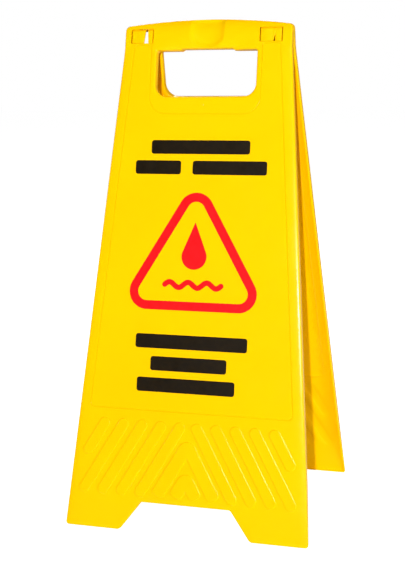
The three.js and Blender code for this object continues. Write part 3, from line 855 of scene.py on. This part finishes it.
def bump(tree, source, strength, distance, normal=None):
    node = tree.nodes.new("ShaderNodeBump")
    node.inputs["Strength"].default_value = strength
    node.inputs["Distance"].default_value = distance
    tree.links.new(source, node.inputs["Height"])
    if normal is not None:
        tree.links.new(normal, node.inputs["Normal"])
    return node.outputs["Normal"]


def yellow_plastic():
    """Glossy moulded polypropylene: even colour, faint flow marks and a fine skin."""
    material, tree, shader = material_nodes("yellow_polypropylene")
    tone = noise_field(tree, 7.0, detail=4.0, distortion=0.4)
    colour = ramp(tree, tone, [(0.3, (1.0, 0.55, 0.0)), (0.7, (1.0, 0.58, 0.0))])
    tree.links.new(colour, shader.inputs["Base Color"])
    haze = spread(tree, noise_field(tree, 38.0, detail=5.0), 0.15, 0.21)
    tree.links.new(haze, shader.inputs["Roughness"])
    sink = bump(tree, noise_field(tree, 10.0, detail=0.0), 0.03, 0.001)
    peel = bump(tree, noise_field(tree, 900.0, detail=1.0), 0.05, 0.00005, sink)
    tree.links.new(peel, shader.inputs["Normal"])
    shader.inputs["IOR"].default_value = 1.49
    shader.inputs["Specular IOR Level"].default_value = 0.09
    shader.inputs["Subsurface Weight"].default_value = 0.08
    shader.inputs["Subsurface Radius"].default_value = (1.0, 0.6, 0.1)
    shader.inputs["Subsurface Scale"].default_value = 0.002
    return material


def ink(name, colour, worn):
    """Screen ink: satin, with a faint mesh texture and thinner patches."""
    material, tree, shader = material_nodes(name)
    tone = noise_field(tree, 220.0, detail=5.0)
    shade = ramp(tree, tone, [(0.25, colour), (0.75, worn)])
    tree.links.new(shade, shader.inputs["Base Color"])
    gloss = spread(tree, noise_field(tree, 90.0), 0.36, 0.5)
    tree.links.new(gloss, shader.inputs["Roughness"])
    weave = bump(tree, noise_field(tree, 2400.0, detail=1.0), 0.2, 0.00003)
    tree.links.new(weave, shader.inputs["Normal"])
    shader.inputs["Specular IOR Level"].default_value = 0.1
    return material


def brightness(tree, sent, seen):
    """One strength for the light that a backdrop sends on, and another for how it looks."""
    path = tree.nodes.new("ShaderNodeLightPath")
    choice = tree.nodes.new("ShaderNodeMapRange")
    choice.inputs["To Min"].default_value = sent
    choice.inputs["To Max"].default_value = seen
    tree.links.new(path.outputs["Is Camera Ray"], choice.inputs["Value"])
    return choice.outputs["Result"]


def floor_material():
    """Pale, softly glowing studio floor."""
    material, tree, shader = material_nodes("pale_floor")
    tone = noise_field(tree, 3.0)
    tree.links.new(ramp(tree, tone, [(0.3, (0.9, 0.9, 0.9)), (0.7, (0.93, 0.93, 0.93))]),
                   shader.inputs["Base Color"])
    shader.inputs["Roughness"].default_value = 0.8
    shader.inputs["Specular IOR Level"].default_value = 0.1
    shader.inputs["Emission Color"].default_value = (1, 1, 1, 1)
    tree.links.new(brightness(tree, *FLOOR_GLOW), shader.inputs["Emission Strength"])
    return material


# ------------------------------------------------------------------ stage, light and camera
def stage():
    bpy.ops.mesh.primitive_plane_add(size=FLOOR_SIZE, location=(0, 0, -FLOOR_DROP))
    floor = bpy.context.object
    floor.name = "floor"
    floor.data.materials.append(floor_material())


def area_light(name, azimuth, elevation, distance, size, power):
    """A square white light aimed at the middle of the sign. Azimuth 0 is straight in front."""
    data = bpy.data.lights.new(name, "AREA")
    data.size, data.energy = size, power
    light = bpy.data.objects.new(name, data)
    a, e = math.radians(azimuth), math.radians(elevation)
    away = Vector((math.sin(a) * math.cos(e), -math.cos(a) * math.cos(e), math.sin(e)))
    light.location = AIM + away * distance
    light.rotation_euler = (-away).to_track_quat("-Z", "Y").to_euler()
    bpy.context.scene.collection.objects.link(light)


def world():
    """White backdrop that lights the sign only softly."""
    studio = bpy.data.worlds.new("studio")
    bpy.context.scene.world = studio
    studio.use_nodes = True
    tree = studio.node_tree
    background = tree.nodes["Background"]
    background.inputs["Color"].default_value = (1, 1, 1, 1)
    tree.links.new(brightness(tree, *BACKDROP), background.inputs["Strength"])
    bpy.context.scene.view_settings.view_transform = "Standard"


def lights():
    """A small bright key left of the camera, a weaker light on each side and one high behind."""
    area_light("key", 9.5, 13, 6.0, 0.08, 264)
    area_light("right_fill", 66, 5, 2.6, 1.2, 40)
    area_light("left_fill", -60, 14, 2.6, 0.3, 4)
    area_light("back_fill", 200, 42, 2.8, 1.0, 25)


def camera():
    """The viewpoint: right of the middle, level with the hand opening and looking slightly down."""
    data = bpy.data.cameras.new("camera")
    data.sensor_width, data.lens = SENSOR_MM, LENS_MM
    viewer = bpy.data.objects.new("camera", data)
    bpy.context.scene.collection.objects.link(viewer)
    level = math.cos(VIEW_PITCH)
    forward = Vector((-math.sin(VIEW_YAW) * level, math.cos(VIEW_YAW) * level, -math.sin(VIEW_PITCH)))
    right = Vector((math.cos(VIEW_YAW), math.sin(VIEW_YAW), 0))
    up = right.cross(forward)
    right_rolled = right * math.cos(VIEW_ROLL) + up * math.sin(VIEW_ROLL)
    up_rolled = -right * math.sin(VIEW_ROLL) + up * math.cos(VIEW_ROLL)
    basis = Matrix((right_rolled, up_rolled, -forward)).transposed()
    viewer.matrix_world = Matrix.Translation(VIEW_FROM) @ basis.to_4x4()
    bpy.context.scene.camera = viewer


# ------------------------------------------------------------------ the scene
yellow = yellow_plastic()
black_ink = ink("black_ink", (0.006, 0.003, 0.0), (0.012, 0.006, 0.0))
red_ink = ink("red_ink", (0.85, 0.002, 0.004), (0.95, 0.006, 0.01))
leaf("front", 1, WINDOWS, yellow)
leaf("rear", -1, [(-right, -left) for left, right in REAR_SLOTS], yellow)
hinge_fingers(yellow)
hinge_pins(yellow)
printed_marks(black_ink, red_ink)
stage()
world()
lights()
camera()
